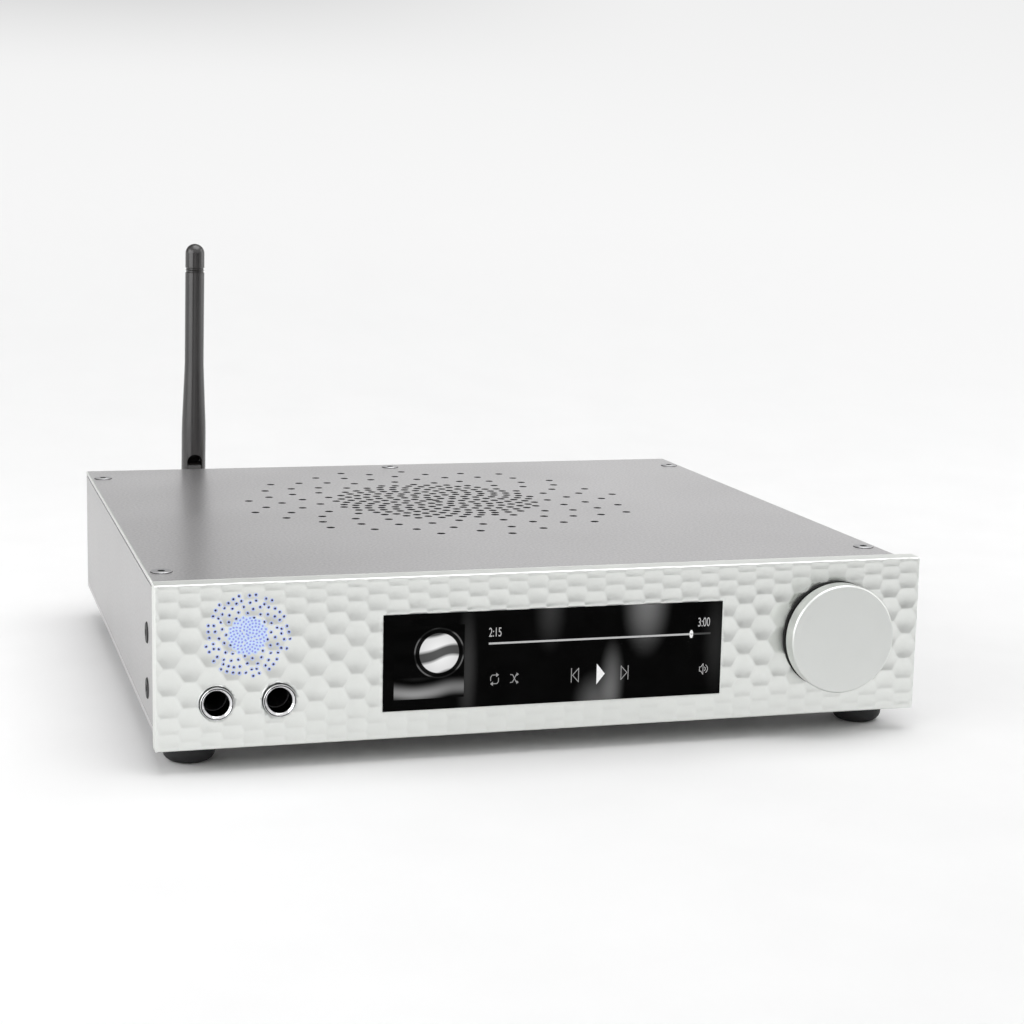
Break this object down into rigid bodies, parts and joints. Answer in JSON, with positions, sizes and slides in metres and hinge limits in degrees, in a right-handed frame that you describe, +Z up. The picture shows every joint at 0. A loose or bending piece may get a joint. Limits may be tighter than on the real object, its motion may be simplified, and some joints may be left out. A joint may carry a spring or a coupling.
{
  "type": "network music streamer",
  "caption": "Flat desktop music streamer: dimpled metal front with glass display, headphone sockets and turning push knob, vented metal case on rubber feet, folding rear antenna.",
  "frame": {"origin": "on the table, under the middle of the whole outline", "axes": "+X to the right seen from the front, +Y from the front panel to the rear, +Z up"},
  "size_m": [0.216, 0.2206, 0.1277],
  "materials": {
    "panel_silver": "bead-blasted and clear anodised over machined dimples",
    "knob_silver": "fine blasted face with a bright turned edge",
    "cover_grey": "fine-textured satin paint",
    "side_silver": "fine-textured satin paint",
    "case_grey": "fine-textured satin paint",
    "block_aluminium": "milled",
    "screw_steel": "satin",
    "screw_black": "blackened",
    "foot_rubber": "matte",
    "display_glass": "polished dark window",
    "display_black": "matte",
    "shaft_steel": "turned",
    "switch_metal": "plated",
    "white_plastic": "moulded",
    "board_green": "lacquered board",
    "board_blue": "lacquered board",
    "ribbon_white": "film",
    "socket_black": "moulded",
    "ring_chrome": "polished",
    "diffuser_white": "opal",
    "standoff_brass": "turned",
    "shield_tin": "tinned",
    "sink_black": "black anodised",
    "chip_black": "moulded",
    "core_steel": "lacquered laminations",
    "winding_copper": "enamelled wire under tape",
    "filter_yellow": "moulded",
    "contact_gold": "gold plated",
    "blade_nickel": "nickel plated",
    "antenna_black": "fine satin moulding",
    "collar_black": "blackened knurl",
    "lead_black": "sleeved lead"
  },
  "bodies": {
    "chassis": {"front_panel": "panel_silver", "display_window": "display_glass", "top_cover": "cover_grey", "base_plate": "case_grey", "left_side": "side_silver", "right_side": "side_silver", "rear_panel": "case_grey", "front_corner_blocks": "block_aluminium", "rear_corner_blocks": "block_aluminium", "rear_middle_block": "block_aluminium", "cover_screws": "screw_steel", "side_screws": "screw_steel", "base_screws": "screw_steel", "rear_screws": "screw_black", "panel_screws": "screw_steel", "rubber_feet": "foot_rubber", "foot_screws": "screw_steel", "encoder_body": "switch_metal", "encoder_nut": "shaft_steel", "display_module": "display_black", "front_board": "board_green", "display_ribbon": "ribbon_white", "headphone_sockets": "socket_black", "headphone_rings": "ring_chrome", "headphone_board": "board_green", "light_diffuser": "diffuser_white", "light_board": "board_green", "main_board": "board_green", "supply_board": "board_green", "board_standoffs": "standoff_brass", "board_screws": "screw_steel", "board_connectors": "white_plastic", "streamer_module": "board_blue", "module_shield": "shield_tin", "heat_sink": "sink_black", "converter_chips": "chip_black", "filter_capacitors": "chip_black", "transformer_core": "core_steel", "transformer_winding": "winding_copper", "supply_capacitors": "chip_black", "mains_filter": "filter_yellow", "fuse_holder": "socket_black", "network_socket": "shield_tin", "usb_socket": "shield_tin", "phono_sockets": "contact_gold", "xlr_sockets": "socket_black", "xlr_pins": "contact_gold", "mains_inlet": "socket_black", "mains_pins": "blade_nickel", "antenna_socket": "contact_gold", "antenna_nut": "contact_gold", "antenna_lead": "lead_black", "antenna_collar": "collar_black"},
    "knob_carrier": {"encoder_plunger": "white_plastic"},
    "knob": {"volume_knob": "knob_silver", "knob_grub_screw": "screw_black", "encoder_shaft": "shaft_steel"},
    "antenna_foot": {"antenna_base": "antenna_black", "antenna_pin": "shaft_steel"},
    "antenna_rod": {"antenna_whip": "antenna_black"}
  },
  "joints": [
    {"name": "knob_push", "type": "slide", "parent": "chassis", "child": "knob_carrier", "axis": [0, 1, 0], "range_m": [0, 0.0006], "stiffness_N_per_m": 4000, "springref_m": -0.0004},
    {"name": "knob_turn", "type": "hinge", "parent": "knob_carrier", "child": "knob", "pos_m": [0.082, -0.10385, 0.0292], "axis": [0, 1, 0], "continuous": true},
    {"name": "antenna_swivel", "type": "hinge", "parent": "chassis", "child": "antenna_foot", "pos_m": [-0.0695, 0.10615, 0.0434], "axis": [0, 1, 0], "range_deg": [-90, 90]},
    {"name": "antenna_fold", "type": "hinge", "parent": "antenna_foot", "child": "antenna_rod", "pos_m": [-0.0695, 0.10615, 0.0434], "axis": [1, 0, 0], "range_deg": [-90, 0]}
  ]
}
